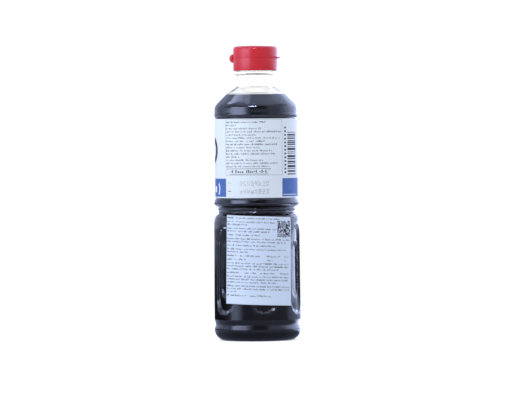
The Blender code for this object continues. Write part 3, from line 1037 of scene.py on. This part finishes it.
def print_sticker_text(grey, dark, draw):
    """Lines of small marks in paragraphs, each with a bolder word in front."""
    text = bmesh.new()
    bold = bmesh.new()
    left = -STICKER_WIDTH / 2.0 + STICKER_MARGIN
    width = STICKER_WIDTH - 2.0 * STICKER_MARGIN
    up = STICKER_HEIGHT / 2.0 - STICKER_FIRST_LINE
    for paragraph in STICKER_PARAGRAPHS:
        word_end = left + width * LEAD_WORD_SHARE
        add_line_of_marks(bold, left, word_end, up, *STICKER_BOLD_SIZE, over_sticker, draw)
        lead = width * LEAD_GAP_SHARE
        for line in paragraph:
            for run in line.split():
                start, end = [left + width * int(part) / 100.0 for part in run.split("-")]
                start = max(start, left + lead)
                add_line_of_marks(text, start, end, up, *STICKER_MARK_SIZE, over_sticker, draw)
            lead = 0.0
            up -= STICKER_LINE_PITCH
        up -= STICKER_PARAGRAPH_PITCH - STICKER_LINE_PITCH
    ink_object(text, "sticker_text", grey)
    ink_object(bold, "sticker_bold_text", dark)


def print_sticker_square(dark, draw):
    """A square filled with small blocks by chance."""
    code = bmesh.new()
    pitch = CODE_SIDE / CODE_MODULES
    left = STICKER_WIDTH / 2.0 - STICKER_MARGIN - CODE_SIDE
    top = STICKER_HEIGHT / 2.0 - CODE_TOP_MARGIN
    for row in range(CODE_MODULES):
        for column in range(CODE_MODULES):
            if draw.random() < CODE_FILL:
                across = left + column * pitch
                bottom = top - (row + 1) * pitch
                add_bar(code, across, across + pitch, bottom, bottom + pitch, over_sticker)
    ink_object(code, "sticker_modules", dark)


def make_sticker_print(grey, dark):
    """Everything printed on the sticker."""
    draw = random.Random(11)
    print_sticker_text(grey, dark, draw)
    print_sticker_square(dark, draw)


# Shader sums

TO_DEGREES = 180.0 / math.pi


def world_math(tree, operation, first, second=0.0):
    """A Math node fed by sockets or numbers."""
    node = tree.nodes.new("ShaderNodeMath")
    node.operation = operation
    for socket, value in zip(node.inputs, (first, second)):
        if isinstance(value, (int, float)):
            socket.default_value = value
        else:
            tree.links.new(value, socket)
    return node.outputs[0]


def total(tree, values):
    """The sum of several sockets or numbers."""
    result = values[0]
    for value in values[1:]:
        result = world_math(tree, "ADD", result, value)
    return result


def product(tree, values):
    """The product of several sockets or numbers."""
    result = values[0]
    for value in values[1:]:
        result = world_math(tree, "MULTIPLY", result, value)
    return result


def soft_step(tree, value, low, high):
    """0 below low and 1 above high, or the other way round if low is above high."""
    node = tree.nodes.new("ShaderNodeMapRange")
    node.interpolation_type = "SMOOTHSTEP"
    falling = low > high
    node.inputs["From Min"].default_value = min(low, high)
    node.inputs["From Max"].default_value = max(low, high)
    node.inputs["To Min"].default_value = 1.0 if falling else 0.0
    node.inputs["To Max"].default_value = 0.0 if falling else 1.0
    tree.links.new(value, node.inputs["Value"])
    return node.outputs["Result"]


def place_parts(tree, kind):
    """The three parts of a kind of texture coordinate."""
    place = tree.nodes.new("ShaderNodeTexCoord")
    parts = tree.nodes.new("ShaderNodeSeparateXYZ")
    tree.links.new(place.outputs[kind], parts.inputs[0])
    return parts.outputs


def azimuth_of(tree, across, away):
    """The angle round the bottle in degrees, from the camera's side towards the right."""
    toward = world_math(tree, "MULTIPLY", away, -1.0)
    return world_math(tree, "MULTIPLY", world_math(tree, "ARCTAN2", across, toward), TO_DEGREES)


def light_node(tree, kind, colour, strength):
    """An emission or background node with a plain or a worked-out strength."""
    node = tree.nodes.new(kind)
    node.inputs["Color"].default_value = (*colour, 1.0)
    if isinstance(strength, float):
        node.inputs["Strength"].default_value = strength
    else:
        tree.links.new(strength, node.inputs["Strength"])
    return node.outputs[0]


def choose(tree, chooser, otherwise, chosen):
    """One shader where the chooser is 1, and the other where it is 0."""
    mix = tree.nodes.new("ShaderNodeMixShader")
    tree.links.new(chooser, mix.inputs[0])
    tree.links.new(otherwise, mix.inputs[1])
    tree.links.new(chosen, mix.inputs[2])
    return mix.outputs[0]


# Floor

WHITE = (1.0, 1.0, 1.0)
ROOM_COLOUR = (0.57, 0.667, 1.0)
FLOOR_SIZE = 1.2
FLOOR_WHITE = 0.85
BACK_RIGHT_DEG = (84.0, 128.0)

# Edges of the floor's painted shade and painted light, as distances from the bottle's axis in the
# floor's own unit
SHADE_EDGE = (0.019, 0.028)
NEAR_EDGE = (0.032, 0.042)
BACK_EDGE = (0.042, 0.065)
BEYOND_EDGE = (0.052, 0.075)
CLEAR_EDGE = (0.1, 0.16)


def mirrored_floor(tree, azimuth, reach):
    """How bright the floor is in the bottle's mirror: a painted pool of light brightest behind the
    bottle at the right, and painted shade close to the bottle.
    """
    # Painted light and shade: the glow is lowest next to the bottle and strongest behind it at the
    # right.
    return total(tree, [
        product(tree, [
            soft_step(tree, azimuth, *BACK_RIGHT_DEG), soft_step(tree, reach, *BACK_EDGE), 3.5,
        ]),
        product(tree, [soft_step(tree, reach, *NEAR_EDGE), 0.2]),
        product(tree, [soft_step(tree, reach, *BEYOND_EDGE), 0.3]),
        0.3,
    ])


def make_floor_look():
    """White, with a painted contact shadow under and round the bottle, and a tone of its own where the
    bottle mirrors it.
    """
    material = new_material("floor_white", (0.3, 0.3, 0.3), 0.8)
    shader = shader_of(material)
    shader.inputs["Emission Color"].default_value = (0.98, 1.0, 1.0, 1.0)
    tree = material.node_tree
    across, away, _ = place_parts(tree, "Object")
    azimuth = azimuth_of(tree, across, away)
    squares = total(tree, [product(tree, [across, across]), product(tree, [away, away])])
    reach = world_math(tree, "POWER", squares, 0.5)
    # Painted contact shadow: the floor's glow is dimmer close to the bottle's axis.
    floor_glow_with_painted_shadow = total(tree, [product(tree, [soft_step(tree, reach, *SHADE_EDGE), 0.57]), 0.28])
    tree.links.new(floor_glow_with_painted_shadow, shader.inputs["Emission Strength"])
    rays = tree.nodes.new("ShaderNodeLightPath").outputs
    near = light_node(tree, "ShaderNodeEmission", ROOM_COLOUR, mirrored_floor(tree, azimuth, reach))
    clear = tree.nodes.new("ShaderNodeBsdfTransparent").outputs[0]
    mirrored = choose(tree, soft_step(tree, reach, *CLEAR_EDGE), near, clear)
    bright = light_node(tree, "ShaderNodeEmission", WHITE, FLOOR_WHITE)
    other = choose(tree, rays["Is Glossy Ray"], bright, mirrored)
    seen = choose(tree, rays["Is Camera Ray"], other, shader.outputs[0])
    tree.links.new(seen, tree.nodes["Material Output"].inputs["Surface"])
    return material


def make_floor():
    """A white floor, with a painted contact shadow round the bottle."""
    bpy.ops.mesh.primitive_plane_add(size=1.0, location=(0.0, 0.0, 0.0))
    floor = bpy.context.object
    floor.name = "floor"
    floor.scale = (FLOOR_SIZE, FLOOR_SIZE, 1.0)
    floor.data.materials.append(make_floor_look())


# World

# The room that the bottle mirrors is made of patches, placed in degrees round the bottle and above
# the horizon. A patch has its edges round the bottle, its edges in height, and its strength. An
# edge is a pair: where the patch is still dark, and where it is full.
ROOM_BASE = 0.38
ROOM_PATCHES = {
    "upper room": ((), ((-8.0, 8.0),), 0.12),
    "ceiling": ((), ((42.0, 66.0),), 0.8),
    "dark front": (((-18.0, -10.0), (34.0, 24.0)), ((4.0, 12.0), (66.0, 56.0)), -0.38),
    "low room": ((), ((-1.3, -1.9), (-6.0, -4.0)), -0.22),
    "low right": (((80.0, 100.0),), ((-1.3, -1.9), (-6.0, -4.0)), 0.55),
    "low left": (((-84.0, -112.0),), ((-0.2, -0.9), (-6.0, -4.0)), -0.16),
    "below": ((), ((-5.0, -12.0),), 0.5),
    "low box": (((-84.0, -66.0), (-34.0, -62.0)), ((-10.0, -4.0), (-0.4, -1.3)), 1.5),
    "right front": (((32.0, 44.0),), ((-5.0, 5.0), (55.0, 40.0)), 0.2),
    "right side": (((60.0, 118.0),), ((-2.4, 0.6), (42.0, 20.0)), 1.7),
    "right back": (((100.0, 122.0),), ((-2.2, -1.7), (0.6, 0.0)), 2.0),
    "right back high": (((96.0, 130.0),), ((20.0, 40.0), (70.0, 50.0)), 0.8),
    "left side": (((-80.0, -104.0),), ((-1.8, 0.2), (55.0, 40.0)), 0.35),
    "left side high": (((-80.0, -104.0),), ((34.0, 50.0), (55.0, 40.0)), 0.3),
    "spot": (((-30.0, -18.0), (8.0, -6.0)), ((38.0, 42.0), (52.0, 48.0)), 32.0),
}
SOFT_BOX = (((-112.0, -58.0), (-19.0, -42.0)), ((-1.3, -0.4), (40.0, 22.0)), 4.2)
SOFT_BOX_DIM_CORNERS = (
    (((-62.0, -80.0),), ((26.0, 33.0),), -0.85),
    (((-72.0, -84.0),), ((8.0, 16.0),), -0.88),
)
FAR_SIDE = (((150.0, 170.0),), ((4.0, 12.0),), -0.6)
GLOSS_GAIN = 1.5
CAMERA_WHITE = 1.05
THROUGH_WHITE = 1.32


def patch(tree, azimuth, elevation, row):
    """A soft-edged patch of the room."""
    around, upward, strength = row
    steps = [soft_step(tree, azimuth, *edge) for edge in around]
    steps += [soft_step(tree, elevation, *edge) for edge in upward]
    return product(tree, steps + [strength])


def soft_box(tree, azimuth, elevation):
    """The large light at the left front, weaker at its far side and above that side."""
    near_side = product(tree, [soft_step(tree, azimuth, -92.0, -58.0), 0.32])
    parts = [patch(tree, azimuth, elevation, SOFT_BOX), total(tree, [near_side, 0.66])]
    for corner in SOFT_BOX_DIM_CORNERS:
        parts.append(total(tree, [patch(tree, azimuth, elevation, corner), 1.0]))
    return product(tree, parts)


def overhead_box(tree, across, away, elevation):
    """The slanting light above the left front, brighter towards the left."""
    slant = total(tree, [away, product(tree, [across, 1.3])])
    return product(tree, [
        soft_step(tree, elevation, 38.0, 46.0),
        soft_step(tree, across, -0.13, -0.2),
        soft_step(tree, away, 0.51, 0.44),
        soft_step(tree, slant, -0.4, -0.33),
        total(tree, [product(tree, [soft_step(tree, across, -0.32, -0.52), 2.0]), 1.1]),
    ])


def mirrored_room(tree, across, away, azimuth, elevation):
    """How bright the room is that glossy surfaces mirror."""
    lights = [patch(tree, azimuth, elevation, row) for row in ROOM_PATCHES.values()]
    lights += [soft_box(tree, azimuth, elevation), overhead_box(tree, across, away, elevation)]
    turned_away = world_math(tree, "ABSOLUTE", azimuth)
    far_side = total(tree, [patch(tree, turned_away, elevation, FAR_SIDE), 1.0])
    return product(tree, [total(tree, lights + [ROOM_BASE]), GLOSS_GAIN, far_side])


def even_light(tree, azimuth):
    """How bright the light on matt surfaces is: strongest from the left front."""
    left = product(tree, [
        soft_step(tree, azimuth, -150.0, -60.0), soft_step(tree, azimuth, 10.0, -30.0), 1.05,
    ])
    right = product(tree, [soft_step(tree, azimuth, 30.0, 90.0), 0.45])
    return total(tree, [left, right, 0.58])


def make_world():
    """A pale room that is dark behind the camera, with large soft lights at the left front,
    above and at the right. The camera itself sees plain white."""
    world = bpy.data.worlds.new("studio")
    world.use_nodes = True
    bpy.context.scene.world = world
    tree = world.node_tree
    tree.nodes.clear()
    across, away, up = place_parts(tree, "Generated")
    azimuth = azimuth_of(tree, across, away)
    elevation = world_math(tree, "MULTIPLY", world_math(tree, "ARCSINE", up), TO_DEGREES)
    rays = tree.nodes.new("ShaderNodeLightPath").outputs
    room = mirrored_room(tree, across, away, azimuth, elevation)
    glossy = light_node(tree, "ShaderNodeBackground", ROOM_COLOUR, room)
    diffuse = light_node(tree, "ShaderNodeBackground", WHITE, even_light(tree, azimuth))
    white = light_node(tree, "ShaderNodeBackground", WHITE, CAMERA_WHITE)
    through = light_node(tree, "ShaderNodeBackground", WHITE, THROUGH_WHITE)
    surface = choose(tree, rays["Is Glossy Ray"], diffuse, glossy)
    surface = choose(tree, rays["Is Transmission Ray"], surface, through)
    surface = choose(tree, rays["Is Camera Ray"], surface, white)
    out = tree.nodes.new("ShaderNodeOutputWorld")
    tree.links.new(surface, out.inputs["Surface"])


# Camera

def make_camera():
    """A long lens in front of the bottle, a little above its middle."""
    data = bpy.data.cameras.new("camera")
    data.sensor_width = SENSOR_WIDTH
    data.lens = SENSOR_WIDTH * CAMERA_DISTANCE / PICTURE_WIDTH
    data.clip_end = 20.0
    camera = bpy.data.objects.new("camera", data)
    bpy.context.scene.collection.objects.link(camera)
    camera.location = (CAMERA_ACROSS, -CAMERA_DISTANCE, CAMERA_HEIGHT)
    aim = Vector((CAMERA_ACROSS, 0.0, AIM_HEIGHT)) - camera.location
    turn = aim.to_track_quat("-Z", "Y").to_matrix().to_4x4()
    roll = Matrix.Rotation(math.radians(CAMERA_ROLL_DEG), 4, "Z")
    camera.matrix_world = Matrix.Translation(camera.location) @ turn @ roll
    bpy.context.scene.camera = camera


def main():
    """Dress the bottle and set the scene."""
    bpy.context.scene.view_settings.view_transform = "Standard"
    red = make_red()
    dark = make_ink("ink_dark", (0.03, 0.03, 0.045))
    grey = make_ink("ink_grey", (0.09, 0.1, 0.14))
    blue = make_ink("ink_blue", (0.06, 0.14, 0.46))
    white = make_ink("ink_white", (0.8, 0.86, 0.95))
    make_bottle(make_plastic())
    make_sauce(make_sauce_look())
    make_cap_base(red)
    make_cap_lid(red)
    make_tab(red)
    make_hinge(red)
    make_wrap_label(make_film())
    make_sticker(make_paper())
    make_label_print(dark, grey, blue, white)
    make_sticker_print(grey, dark)
    make_floor()
    make_world()
    make_camera()


main()
